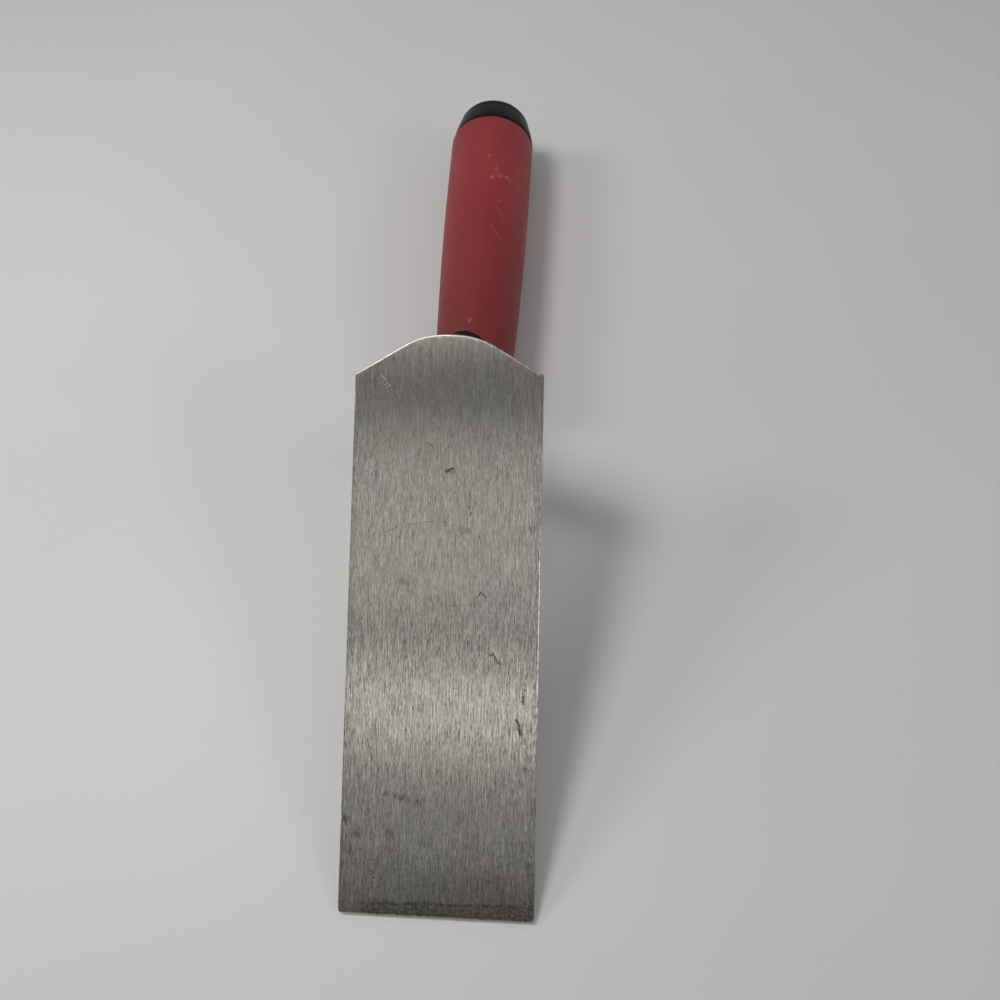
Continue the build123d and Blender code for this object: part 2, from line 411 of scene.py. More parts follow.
def brushed_blade_material():
    """Bare steel brushed along the blade, with stains, scratches, small nicks and painted glints.
    """
    s = Shader("brushed_blade_steel", TOOL)
    x, y, z = s.axes()
    fine, middle, broad, glints, pores = brushed_grain(s)
    patches = s.noise(48, (1, 0.6, 1), 3.0, 0.55, (1, 4, 2))
    cloud = s.noise(20, (1, 1, 1), 2.0, 0.5, (5, 5, 1))
    grit = s.noise(1500, (1, 0.35, 1), 4.0, 0.7, (2, 8, 3))

    tint = s.mix(s.ramp(patches, 0.35, 0.65), BLADE_WARM, BLADE_COOL)
    grain = s.plus(s.times(fine, 0.5), s.times(middle, 0.5))
    streaks = s.ramp(grain, 0.28, 0.72, -0.70, 0.68, False)
    streaks = s.plus(streaks, s.ramp(glints, 0.60, 0.74, 0.0, 0.38))
    streaks = s.minus(streaks, s.ramp(pores, 0.40, 0.27, 0.0, 0.45))
    # Painted glints: the brush streaks get more contrast under the reflected ceiling band, about
    # 55 mm from the tip, and are weaker towards the heel
    strength = s.ramp(y, 0.118, 0.133, 1.0, 0.46)
    from_reflected_band = s.unsigned(s.minus(y, 0.055))
    strength = s.times(strength, s.ramp(from_reflected_band, 0.010, 0.030, 1.35, 0.98))
    shade = s.math("MULTIPLY_ADD", streaks, strength, 1.0)
    shade = s.times(shade, s.ramp(broad, 0.3, 0.7, 0.92, 1.08, False))
    shade = s.times(shade, s.ramp(cloud, 0.3, 0.7, 0.96, 1.04, False))
    colour = s.shaded(tint, shade)

    wobble = s.swing(s.noise(420, detail=4.0, rough=0.6), 0.00045)
    ragged = s.noise(1300, detail=3.0, rough=0.7)
    faded = s.ramp(s.noise(900, detail=2.0, offset=(2, 2, 2)), 0.36, 0.60, 0.15, 1.0)
    scratches = s.any_of([s.line_mask(a, b, 0.03, 0.17, wobble) for a, b in FINE_SCRATCHES])
    scratches = s.times(scratches, faded)
    nicks = s.any_of(
        [s.line_mask(a, b, width, 0.28, wobble) for a, b, width in GOUGES]
        + [s.spot_mask((a, b, 0), radius, 0.35, ragged, 0.3) for a, b, radius in PITS]
    )
    nicks = s.times(nicks, s.ramp(ragged, 0.30, 0.52, 0.25, 1.0))
    smudges = s.any_of(
        [s.spot_mask((a, b, 0), 0.2, reach, ragged, 0.5 * reach) for a, b, reach in SMUDGES]
    )
    smudges = s.times(smudges, s.ramp(grit, 0.36, 0.58, 0.2, 1.0))
    brown, rubbed, flow = tip_film(s)

    # Grime where the plate meets its sides
    side = s.ramp(s.unsigned(x), 0.0222, 0.0252, 0.0, 1.0)
    side = s.times(side, s.ramp(z, -0.0006, -0.0002, 0.3, 1.0))
    grime = s.times(side, s.ramp(grit, 0.46, 0.62))

    dark = s.times(scratches, 0.62)
    for mask, share in ((nicks, 0.86), (smudges, 0.58), (grime, 0.38), (flow, 1.0)):
        dark = s.larger(dark, s.times(mask, share))
    colour = s.mix(dark, colour, BLADE_GRIME)
    colour = s.mix(brown, colour, BLADE_FILM)
    scored = s.any_of([s.line_mask(a, b, 0.02, 0.14, wobble) for a, b in PALE_SCRATCHES])
    scored = s.times(scored, s.ramp(ragged, 0.36, 0.52, 0.2, 1.0))
    pale = s.larger(s.times(scored, 0.6), rubbed)
    colour = s.mix(pale, colour, BLADE_BRIGHT)

    rough = s.ramp(grain, 0.3, 0.7, 0.17, 0.23, False)
    rough = s.plus(rough, s.times(dark, 0.25))
    rough = s.plus(rough, s.times(scored, 0.18))
    height = s.plus(grain, s.times(nicks, -1.2))
    height = s.plus(height, s.times(scratches, -0.8))
    tangent = s.add("ShaderNodeTangent", direction_type="UV_MAP", uv_map="across")
    s.surface(Base_Color=colour, Metallic=1.0, Roughness=rough, Anisotropic=0.95)
    s.surface(Tangent=tangent.outputs["Tangent"], Normal=s.bump(height, 0.010, 0.45))
    return s.material


# Blade colours
BLADE_WARM = (0.512, 0.477, 0.434)
BLADE_COOL = (0.492, 0.476, 0.434)
BLADE_GRIME = (0.060, 0.054, 0.046)
BLADE_FILM = (0.070, 0.054, 0.038)
BLADE_BRIGHT = (0.66, 0.63, 0.57)

# Dark lines drawn across the tip: metres from the tip, half width in metres, strength
TIP_BANDS = ((0.0033, 0.00085, 1.0), (0.0019, 0.0006, 0.75), (0.0009, 0.0004, 0.3))

# Marks on the work face in mm: x from the middle, y from the tip, then width or radius
FINE_SCRATCHES = (
    ((-16.0, 98.6), (-10.7, 100.8)), ((-10.7, 100.8), (-4.0, 101.7)),
    ((-4.0, 101.7), (0.4, 101.5)), ((1.8, 79.6), (9.4, 79.9)), ((11.0, 68.2), (13.4, 67.2)),
    ((13.6, 66.8), (16.5, 64.4)), ((-5.6, 123.0), (-4.0, 121.8)),
    ((21.6, 46.6), (22.4, 44.0)), ((20.6, 62.6), (21.5, 57.0)),
    ((-19.0, 44.5), (-17.5, 39.0)),
)
GOUGES = (
    ((0.0, 115.0), (0.6, 115.2), 0.20), ((0.5, 115.4), (1.8, 115.9), 0.12),
    ((13.4, 67.6), (14.1, 66.3), 0.13), ((14.1, 66.3), (15.2, 64.9), 0.07),
    ((12.4, 66.9), (13.6, 67.0), 0.03), ((19.8, 50.6), (20.5, 49.4), 0.12),
    ((20.5, 49.0), (20.8, 47.2), 0.13), ((21.5, 56.6), (21.7, 54.8), 0.10),
    ((9.2, 82.2), (9.9, 83.3), 0.07), ((9.9, 83.3), (11.4, 82.1), 0.04),
    ((6.4, 105.9), (6.5, 105.0), 0.02), ((6.9, 104.2), (6.7, 103.4), 0.02),
    ((-24.2, 24.5), (-23.9, 22.0), 0.10),
)
PALE_SCRATCHES = (
    ((-17.5, 137.9), (-16.4, 138.8)), ((-17.0, 137.3), (-15.9, 138.2)),
    ((-18.4, 140.8), (-17.1, 139.3)),
)
PITS = (
    (20.1, 50.0, 0.10), (20.7, 47.9, 0.16), (21.4, 55.4, 0.14), (21.9, 58.4, 0.06),
    (13.7, 67.1, 0.10), (-16.2, 9.2, 0.12), (-14.1, 9.0, 0.08), (2.6, 109.4, 0.02),
    (-18.8, 113.6, 0.06), (-13.1, 131.6, 0.05), (-7.3, 80.6, 0.02), (7.9, 107.0, 0.04),
    (9.2, 97.9, 0.03), (-22.6, 68.0, 0.05), (22.9, 4.6, 0.12), (-3.3, 43.7, 0.02),
    (17.0, 121.0, 0.02), (3.4, 58.2, 0.02), (-20.1, 57.0, 0.02),
)
SMUDGES = (
    (4.6, 99.3, 1.5), (6.2, 99.2, 1.0), (-9.4, 29.8, 1.5), (-11.4, 30.4, 1.2),
    (-13.6, 30.6, 1.1), (-7.6, 29.3, 1.2), (-5.2, 28.8, 1.1), (-12.5, 20.4, 1.8),
    (-21.4, 20.3, 2.2), (-22.6, 16.0, 1.8), (-11.0, 85.8, 1.2), (-9.8, 85.0, 0.9),
    (22.6, 38.0, 1.4), (23.6, 14.0, 1.6), (-24.3, 24.0, 1.6), (23.0, 100.0, 1.4),
)


def forged_steel_material():
    """Ground forging: satin steel with fine grinding marks and darker hollows."""
    s = Shader("forged_shank_steel", TOOL)
    marks = s.noise(1400, (1, 1, 0.18), 3.0, 0.6)
    pits = s.noise(700, detail=4.0, rough=0.7, offset=(2, 3, 1))
    cloud = s.noise(90, detail=3.0, rough=0.6, offset=(6, 1, 2))
    colour = s.mix(s.ramp(cloud, 0.3, 0.7), (0.36, 0.35, 0.33), (0.46, 0.45, 0.42))
    colour = s.mix(s.ramp(pits, 0.58, 0.72, 0.0, 0.6), colour, (0.10, 0.09, 0.08))
    rough = s.ramp(marks, 0.3, 0.7, 0.30, 0.48, False)
    height = s.plus(s.times(marks, 0.6), s.times(pits, -0.7))
    s.surface(Base_Color=colour, Metallic=1.0, Roughness=rough, Normal=s.bump(height, 0.05, 0.4))
    return s.material


def weld_material():
    """Weld metal: grey brown with blue straw heat tint in the ripples."""
    s = Shader("weld_metal", TOOL)
    cloud = s.noise(240, detail=4.0, rough=0.6)
    fine = s.noise(2600, detail=3.0, rough=0.6, offset=(1, 2, 3))
    colour = s.mix(s.ramp(cloud, 0.35, 0.65), (0.22, 0.20, 0.18), (0.17, 0.17, 0.20))
    colour = s.mix(s.ramp(fine, 0.55, 0.75, 0.0, 0.5), colour, (0.36, 0.32, 0.26))
    rough = s.ramp(fine, 0.3, 0.7, 0.38, 0.62, False)
    s.surface(Base_Color=colour, Metallic=0.9, Roughness=rough, Normal=s.bump(fine, 0.06, 0.5))
    return s.material


# Scuffs on the grip: station, degrees round it with 90 facing the blade, radius, rim, raggedness
GRIP_SCUFFS = (
    (75.3, 84, 0.2, 1.2, 1.0), (75.9, 78, 0.3, 1.3, 1.1), (76.9, 72, 0.3, 1.4, 1.1),
    (80.4, 75, 0.1, 1.1, 0.9), (77.2, 66, 0.3, 1.4, 1.1), (77.3, 59, 0.3, 1.2, 1.0),
    (77.0, 53, 0.3, 0.9, 0.7), (86.6, 86, 0.1, 1.0, 1.0), (65.2, 67, 0.1, 0.9, 1.0),
    (12.6, 92, 0.2, 1.4, 1.2), (40.0, 268, 0.2, 3.2, 3.0), (70.0, 250, 0.2, 2.6, 2.6),
    (58.0, 300, 0.1, 2.2, 2.1), (88.0, 282, 0.2, 3.4, 3.2),
)

# Scratches on the grip: start and end as station and degrees, half width, rim
GRIP_SCRATCHES = (
    ((83.0, 74), (77.3, 74), 0.05, 0.3),
    ((53.4, 76), (48.2, 60), 0.12, 0.3),
    ((62.5, 70), (57.0, 58), 0.06, 0.25),
    ((47.0, 255), (61.0, 243), 0.07, 0.3),
)


def on_grip(station, angle_degrees):
    """Point in the handle frame on the grip's surface; 90 degrees faces the blade."""
    angle = math.radians(angle_degrees)
    radius = outer_radius(station)
    return (radius * math.cos(angle), -radius * math.sin(angle), station)


def grip_material():
    """Soft red rubber: fine moulded grain, pale scuffs and rubbed, darker patches; painted shade
    towards the blade and painted light on the right.
    """
    s = Shader("soft_red_grip", HANDLE)
    grain = s.noise(3800, detail=2.0, rough=0.6)
    mottling = s.noise(240, detail=4.0, rough=0.65, offset=(3, 1, 4))
    cloud = s.noise(38, (1, 1, 0.5), 2.0, 0.5, (2, 7, 1))
    ragged = s.noise(1100, detail=3.0, rough=0.7, offset=(5, 2, 2))
    hair = s.noise(520, (1, 1, 0.5), 4.0, 0.7, (8, 3, 1))

    colour = s.mix(s.ramp(cloud, 0.3, 0.7), (0.215, 0.022, 0.026), (0.255, 0.030, 0.032))
    colour = s.mix(s.ramp(mottling, 0.5, 0.78, 0.0, 0.25), colour, (0.16, 0.017, 0.020))
    # Painted shade: the colour grows darker towards the blade; painted light: a little lighter on
    # the right
    across, _, station = s.axes()
    painted_shade_and_light = s.ramp(station, 0.0, 0.085, 0.75, 1.20)
    painted_shade_and_light = s.times(painted_shade_and_light, s.ramp(across, -0.012, 0.013, 0.96, 1.12))
    colour = s.shaded(colour, painted_shade_and_light)

    scuffs = s.any_of([
        s.spot_mask(on_grip(station_mm, degrees), radius, soft, ragged, ragged_mm)
        for station_mm, degrees, radius, soft, ragged_mm in GRIP_SCUFFS
    ])
    scuffs = s.times(scuffs, s.ramp(hair, 0.42, 0.58))
    lines = s.any_of([
        s.scratch_mask(on_grip(*begin), on_grip(*end), width, soft)
        for begin, end, width, soft in GRIP_SCRATCHES
    ])
    pale = s.larger(s.times(scuffs, 0.50), s.times(lines, 0.20))
    colour = s.mix(pale, colour, (0.52, 0.22, 0.21))

    rough = s.ramp(mottling, 0.3, 0.7, 0.50, 0.62, False)
    rough = s.plus(rough, s.times(pale, 0.25))
    height = s.plus(s.times(grain, 0.5), s.times(mottling, 0.6))
    height = s.plus(height, s.times(pale, 0.8))
    s.surface(Base_Color=colour, Roughness=rough, Normal=s.bump(height, 0.05, 0.35))
    s.surface(Specular_IOR_Level=0.3, Sheen_Weight=0.055, Sheen_Roughness=0.45)
    return s.material


def black_plastic_material(name, base, rough_low, rough_high):
    """Moulded black plastic with a spark-eroded grain and a few rubbed patches."""
    s = Shader(name, HANDLE)
    grain = s.noise(4200, detail=2.0, rough=0.6)
    rub = s.noise(120, detail=4.0, rough=0.6, offset=(4, 2, 6))
    lighter = tuple(channel * 2.2 for channel in base)
    colour = s.mix(s.ramp(rub, 0.48, 0.75, 0.0, 0.6), base, lighter)
    rough = s.ramp(rub, 0.3, 0.7, rough_low, rough_high, False)
    s.surface(Base_Color=colour, Roughness=rough, Specular_IOR_Level=0.16)
    s.surface(Normal=s.bump(grain, 0.04, 0.35))
    return s.material


# ---- blade


def heel_edge(x):
    """Y of the heel's edge at a distance x from the middle, its crown worn a little flat."""
    worn = max(0.0, 1 - (x / 14.0) ** 2)
    return new_heel_edge(x) - 0.4 * worn * worn


def new_heel_edge(x):
    """Y of the unworn heel's edge: crown, flank, shallow cusp."""
    x = abs(x)
    crown_x = CROWN_RADIUS * math.sin(FLANK_ANGLE)
    crown_y = BLADE_LENGTH - CROWN_RADIUS * (1 - math.cos(FLANK_ANGLE))
    cusp_x = BLADE_WIDTH / 2 - CUSP_RADIUS * (math.sin(FLANK_ANGLE) - math.sin(CUSP_ANGLE))
    if x <= crown_x:
        return BLADE_LENGTH - CROWN_RADIUS + math.sqrt(CROWN_RADIUS**2 - x**2)
    if x <= cusp_x:
        return crown_y - (x - crown_x) * math.tan(FLANK_ANGLE)
    cusp_y = crown_y - (cusp_x - crown_x) * math.tan(FLANK_ANGLE)
    centre_x = cusp_x + CUSP_RADIUS * math.sin(FLANK_ANGLE)
    centre_y = cusp_y + CUSP_RADIUS * math.cos(FLANK_ANGLE)
    return centre_y - math.sqrt(CUSP_RADIUS**2 - (x - centre_x) ** 2)


def round_tip_corner(x, y):
    """Pull a point near a tip corner onto the corner's small round."""
    r = TIP_CORNER_RADIUS
    cx, cy = BLADE_WIDTH / 2 - r, r
    if abs(x) <= cx or y >= cy:
        return Vector((x, y))
    dx, dy = abs(x) - cx, cy - y
    reach = r / max(r, math.hypot(dx, dy))
    return Vector((math.copysign(cx + dx * reach, x), cy - dy * reach))


def edge_wear(x, y):
    """How far the plate's edge is worn or nicked inwards at a point, in mm."""
    slow = noise.noise(Vector((x * 0.11, y * 0.11, 3.7)))
    fast = noise.noise(Vector((x * 0.9, y * 0.9, 8.1)))
    wear = 0.02 + 0.02 * slow + 0.012 * fast
    for cx, cy, size, depth in EDGE_NICKS:
        wear += depth * math.exp(-((x - cx) ** 2 + (y - cy) ** 2) / size**2)
    return max(0.0, wear)


# Nicks of the rim and dents of the work face in mm: x, y, radius, depth
EDGE_NICKS = (
    (-25.4, 24.0, 0.5, 0.22), (-25.4, 61.0, 0.7, 0.07), (-25.4, 112.0, 0.5, 0.06),
    (25.4, 72.0, 0.6, 0.13), (25.4, 54.5, 0.4, 0.08), (25.4, 91.0, 0.7, 0.06),
    (25.4, 17.0, 0.6, 0.07), (11.0, 0.0, 0.7, 0.10), (-3.0, 0.0, 0.5, 0.07),
    (-18.0, 0.0, 0.8, 0.08), (14.0, 146.2, 0.6, 0.06),
)

FACE_DENTS = (
    (1.1, 115.7, 0.9, 0.05), (14.7, 66.2, 0.8, 0.035), (20.7, 48.2, 0.9, 0.05),
    (5.0, 99.3, 0.9, 0.02),
)


def face_lift(x, y):
    """Height of the work face above its plane, in mm: a faint bow, waves and dents."""
    lift = -0.02 - 0.04 * (x / 25.4) ** 2
    lift += 0.016 * noise.noise(Vector((x * 0.035, y * 0.03, 1.3)))
    lift += 0.003 * noise.noise(Vector((x * 0.16, y * 0.12, 5.1)))
    for cx, cy, size, depth in FACE_DENTS:
        lift -= depth * math.exp(-((x - cx) ** 2 + (y - cy) ** 2) / size**2)
    return lift


# The work face rolls off towards its edge: share of the rim's inset, then depth in mm
ROLL = (
    (1.0, 0.0), (0.74, 0.010), (0.54, 0.030), (0.38, 0.062), (0.24, 0.11), (0.13, 0.17),
    (0.05, 0.25), (0.0, 0.36),
)


def roll_share(x, y):
    """How strongly the work face rolls off beside a point of its edge."""
    if y > 0.9 * BLADE_LENGTH:
        return 0.03 + 0.39 * smooth((x + 7.5) / 7.5)
    if y < 1.0:
        return 0.4
    right = smooth((y - 50) / 15) * smooth((125 - y) / 15)
    return 0.30 + (0.42 * right if x > 0 else 0.08)


def make_blade():
    """Plate with a fine face grid each side, a rolled upper edge and a worn rim."""
    columns = 84
    rows = 190
    inner_half = BLADE_WIDTH / 2 - RIM_INSET

    def face_point(i, j):
        """Point of the face grid, and the edge point that a border point belongs to."""
        across = 2 * j / columns - 1
        x = inner_half * across
        edge_x = BLADE_WIDTH / 2 * across
        rise = (heel_edge(edge_x + 0.01) - heel_edge(edge_x - 0.01)) / 0.02
        heel_y = heel_edge(edge_x) - RIM_INSET * math.sqrt(1 + rise * rise)
        y = RIM_INSET + (heel_y - RIM_INSET) * i / rows
        edge = Vector((x, y))
        if j in (0, columns):
            edge = Vector((math.copysign(BLADE_WIDTH / 2, x), y))
        if i == 0:
            edge = round_tip_corner(edge_x, 0.0)
        if i == rows:
            edge = Vector((edge_x, heel_edge(edge_x)))
        return Vector((x, y)), edge

    loop = [(0, j) for j in range(columns + 1)]
    loop += [(i, columns) for i in range(1, rows + 1)]
    loop += [(rows, j) for j in range(columns - 1, -1, -1)]
    loop += [(i, 0) for i in range(rows - 1, 0, -1)]
    pairs = [face_point(i, j) for i, j in loop]
    worn = []
    for inner, edge in pairs:
        inward = (inner - edge).normalized()
        worn.append(edge + inward * edge_wear(edge.x, edge.y))

    verts = []
    faces = []

    def add_face_grid(top):
        """Grid of one face; its border is the rim's first or last ring."""
        start = len(verts)
        for i in range(rows + 1):
            for j in range(columns + 1):
                point = face_point(i, j)[0]
                lift = face_lift(point.x, point.y)
                verts.append((point.x, point.y, lift if top else 0.5 * lift - BLADE_THICKNESS))
        width = columns + 1
        for i in range(rows):
            for j in range(columns):
                a = start + i * width + j
                quad = (a, a + 1, a + width + 1, a + width)
                faces.append(quad if top else tuple(reversed(quad)))
        return [start + i * width + j for i, j in loop]

    def add_ring(share, depth_at):
        """Rim ring between the edge and the face border; depth depends on the point."""
        ring = []
        for (inner, _), edge in zip(pairs, worn):
            point = edge + (inner - edge) * share
            ring.append(len(verts))
            verts.append((point.x, point.y, depth_at(point)))
        return ring

    rings = [add_face_grid(True)]
    for share, depth in ROLL[1:]:
        rings.append(add_ring(
            share,
            lambda p: face_lift(p.x, p.y) - depth * roll_share(p.x, p.y),
        ))
    for turn in quarter(5):
        share = BACK_EDGE_RADIUS * (1 - math.cos(turn)) / RIM_INSET
        rise = BACK_EDGE_RADIUS * (1 - math.sin(turn))
        rings.append(add_ring(
            share,
            lambda p: 0.5 * face_lift(p.x, p.y) - BLADE_THICKNESS + rise,
        ))
    rings.append(add_face_grid(False))
    for ring, below in zip(rings, rings[1:]):
        for k, j in neighbours(len(loop)):
            faces.append((ring[k], below[k], below[j], ring[j]))

    piece = add_piece(
        "blade_plate", verts, faces, TOOL, brushed_blade_material(), "blade", 60.0
    )
    across = piece.data.uv_layers.new(name="across")
    to_tool = TOOL.inverted()
    for corner in piece.data.loops:
        point = to_tool @ piece.data.vertices[corner.vertex_index].co
        across.data[corner.index].uv = (point.x / 0.2 + 0.5, point.y / 0.2)
    return piece


# ---- handle


def outer_radius(station, inset=0.0):
    """Radius of the handle at a station: one long arc through waist, swell and butt."""
    half = GRIP_BACK / 2
    chord_middle = (WAIST_RADIUS + BUTT_RADIUS) / 2
    rise = SWELL_RADIUS - chord_middle
    t = (station - half) / half
    straight = chord_middle + (BUTT_RADIUS - WAIST_RADIUS) / 2 * t
    return straight + rise * (1 - t * t) - inset


def handle_ring(radius_at, station_at, count):
    """Ring about the handle's axis; radius and station may depend on the angle."""
    ring = []
    for angle in around(count):
        radius = radius_at(angle)
        ring.append((radius * math.cos(angle), -radius * math.sin(angle), station_at(angle)))
    return ring


def turned(profile, count):
    """Plain rings about the handle's axis, from pairs of radius and station."""
    return [handle_ring(lambda a: r, lambda a: s, count) for r, s in profile]


def grip_front(angle):
    """Station of the grip's front edge: scalloped over and under the handle."""
    from_top = abs(math.cos(angle - math.pi / 2 - SCALLOP_CLOCKING))
    lobe = (from_top * from_top + 0.004) ** 0.6
    return GRIP_FRONT + (SCALLOP_END - GRIP_FRONT) * min(1.0, lobe)


def make_grip():
    """Soft sleeve: rolled scalloped lip, long barrel, parting ridge and a closed inside."""
    count = 192
    ridge_angles = (math.radians(84), math.radians(264))

    def ridge(angle):
        """Flash line where the two halves of the mould met."""
        height = 0.0
        for at in ridge_angles:
            turn = (angle - at + math.pi) % (2 * math.pi) - math.pi
            height += 0.07 * math.exp(-((turn * 15 / 0.35) ** 2))
        return height

    def skin_radius(station, angle):
        """Radius of the rubber's surface, faintly uneven."""
        wave = 0.03 * noise.noise(Vector((math.cos(angle), math.sin(angle), station * 0.05)))
        return outer_radius(station) + wave + ridge(angle) - GRIP_RELIEF

    rings = []
    lip = GRIP_LIP
    # Inside of the lip, then the rolled edge, then the barrel
    for back in (2.5, 0.0):
        rings.append(handle_ring(
            lambda a: outer_radius(grip_front(a), COLLAR_INSET - 0.02),
            lambda a: grip_front(a) + back, count))
    for turn in quarter(6):
        rings.append(handle_ring(
            lambda a: skin_radius(grip_front(a) + lip, a) - lip * (1 - math.sin(turn)),
            lambda a: grip_front(a) + lip * (1 - math.cos(turn)), count))
    stations = 90
    for step in range(1, stations):
        share = step / stations
        rings.append(handle_ring(
            lambda a: skin_radius(along_barrel(a, share), a),
            lambda a: along_barrel(a, share), count))
    for turn in quarter(5):
        rings.append(handle_ring(
            lambda a: skin_radius(GRIP_BACK, a) - GRIP_BACK_ROUND * (1 - math.cos(turn)),
            lambda a: GRIP_BACK - GRIP_BACK_ROUND * (1 - math.sin(turn)), count))
    inside = (GRIP_BACK, 80.0, 54.0, 30.0, 14.0, 11.5)
    rings += turned([(outer_radius(station, GRIP_WALL), station) for station in inside], count)
    verts, faces = rings_to_mesh(rings, close_ends=False)
    faces += bridge((len(rings) - 1) * count, 0, count)
    return add_piece(
        "red_sleeve", verts, faces, HANDLE, grip_material(), "soft_grip", 50.0
    )


def along_barrel(angle, share):
    """Station between the scalloped lip and the grip's back for a share of the way."""
    front = grip_front(angle) + GRIP_LIP
    back = GRIP_BACK - GRIP_BACK_ROUND
    even = GRIP_FRONT + GRIP_LIP + (back - GRIP_FRONT - GRIP_LIP) * share
    shifted = front + (back - front) * share
    return shifted + (even - shifted) * smooth(share * 2.2 - 0.6)


def make_core():
    """Moulded core: nosed collar, body under the grip and spigot for the cap."""
    count = 128
    nose = 3.5
    collar = outer_radius(COLLAR_FRONT, FLUSH_INSET)
    bore = NECK_RADIUS + 0.25
    profile = [(bore, COLLAR_FRONT + 1.6), (bore, COLLAR_FRONT + 0.5)]
    profile += [(bore + 0.15, COLLAR_FRONT + 0.15), (bore + 0.5, COLLAR_FRONT)]
    for step in range(3):
        profile.append((bore + 0.5 + (collar - nose - bore - 0.5) * (step + 1) / 4, COLLAR_FRONT))
    for turn in quarter(8):
        profile.append((
            collar - nose * (1 - math.sin(turn)),
            COLLAR_FRONT + nose * (1 - math.cos(turn)),
        ))
    rings = turned(profile, count)
    # The collar's side follows the grip's scalloped lip, then steps down under it
    nose_end = COLLAR_FRONT + nose

    def side_station(angle, share):
        """Station a share of the way from the nose to just short of the grip's lip."""
        return nose_end + (grip_front(angle) - LIP_GAP - nose_end) * share

    for step in range(1, 9):
        rings.append(handle_ring(
            lambda a: outer_radius(side_station(a, step / 8), FLUSH_INSET),
            lambda a: side_station(a, step / 8), count))
    rings.append(handle_ring(
        lambda a: outer_radius(grip_front(a), COLLAR_INSET),
        lambda a: side_station(a, 1.0), count))
    profile = [(outer_radius(SCALLOP_END + 2.7, COLLAR_INSET), SCALLOP_END + 2.7)]
    for station in (11.0, 40.0, 80.0, GRIP_BACK - 0.2):
        profile.append((outer_radius(station, GRIP_WALL + 0.02), station))
    profile += [(CAP_SEAT_RADIUS, GRIP_BACK - 0.2), (CAP_SEAT_RADIUS, SPIGOT_END - 0.5)]
    profile += [(CAP_SEAT_RADIUS - 0.6, SPIGOT_END), (2.0, SPIGOT_END)]
    rings += turned(profile, count)
    verts, faces = rings_to_mesh(rings)
    material = black_plastic_material("black_core_plastic", (0.004, 0.004, 0.004), 0.40, 0.52)
    return add_piece(
        "core_moulding", verts, faces, HANDLE, material, "handle_core", 35.0
    )


def make_cap():
    """Butt cap: thin parting gap, short cone, round shoulder and slightly dished end."""
    count = 160
    start = GRIP_BACK + 0.12
    pocket_radius = CAP_SEAT_RADIUS + 0.05
    profile = [(pocket_radius, start), (BUTT_RADIUS - 0.55, start)]
    profile += [(BUTT_RADIUS - 0.3, start + 0.08), (BUTT_RADIUS - 0.16, start + 0.32)]
    round_start = CAP_END - CAP_ROUND_RADIUS
    for step in range(1, 9):
        share = step / 8
        bulge = 0.22 * math.sin(math.pi * share)
        radius = BUTT_RADIUS - 0.12 + (CAP_CONE_RADIUS - BUTT_RADIUS + 0.12) * share + bulge
        profile.append((radius, start + 0.4 + (round_start - start - 0.4) * share))
    for turn in quarter(12)[1:]:
        profile.append((
            CAP_CONE_RADIUS - CAP_ROUND_RADIUS * (1 - math.cos(turn)),
            round_start + CAP_ROUND_RADIUS * math.sin(turn),
        ))
    for radius, drop in ((7.0, 0.02), (5.0, 0.06), (3.0, 0.1), (1.2, 0.12)):
        profile.append((radius, CAP_END - drop))
    verts, faces = rings_to_mesh(turned(profile, count), close_ends=False)

    # The pocket that the core's spigot fits
    base = len(verts)
    bottom = start + 8.6
    for ring in turned([(pocket_radius, bottom), (1.0, bottom)], count):
        verts.extend(ring)
    levels = (0, base, base + count)
    for low, high in zip(levels, levels[1:]):
        faces += [(low + k, high + k, high + j, low + j) for k, j in neighbours(count)]
    for level, flip in ((levels[-1], True), (base - count, False)):
        verts.append((0.0, 0.0, verts[level][2]))
        faces += fan(level, count, len(verts) - 1, flip)
    material = black_plastic_material("black_cap_plastic", (0.004, 0.004, 0.0045), 0.36, 0.48)
    verts = [(vx + CAP_OFFSET, vy, vz) for vx, vy, vz in verts]
    return add_piece(
        "butt_cap", verts, faces, HANDLE, material, "end_cap", 35.0
    )


# ---- shank and weld


def handle_point(station):
    """Point on the handle's axis in the tool frame."""
    return Vector((
        0,
        BLADE_LENGTH + station * math.cos(AXIS_SLOPE),
        -AXIS_DROP - station * math.sin(AXIS_SLOPE),
    ))


def stadium(front, back, half_width, depth, count):
    """Long round-ended ring round the foot at a depth below the work face."""
    radius = min(half_width, (back - front) / 2)
    ring = []
    for angle in around(count):
        x = half_width * math.cos(angle)
        y = radius * math.sin(angle)
        y += (back - radius) if math.sin(angle) >= 0 else (front + radius)
        ring.append((x, y, -depth))
    return ring


# Foot and neck below the blade in mm: depth, front, back, half width
FOOT_SECTIONS = (
    (0.0, FOOT_FRONT, FOOT_BACK, 9.5), (0.9, FOOT_FRONT, FOOT_BACK, 9.5),
    (1.5, 84.3, 131.8, 9.35), (1.9, 85.2, 131.3, 8.95), (2.3, 88.0, 130.7, 8.5),
    (2.8, 92.5, 130.2, 8.15), (3.4, 98.0, 129.6, 7.8), (4.1, 103.0, 128.9, 7.35),
    (4.9, 107.2, 128.0, 6.75), (5.8, 110.3, 127.1, 6.15), (6.9, 112.5, 126.2, 5.6),
    (8.2, 114.0, 125.4, 5.2), (9.8, 114.9, 124.95, 4.9),
    (12.0, 115.25, 124.75, NECK_RADIUS),
)


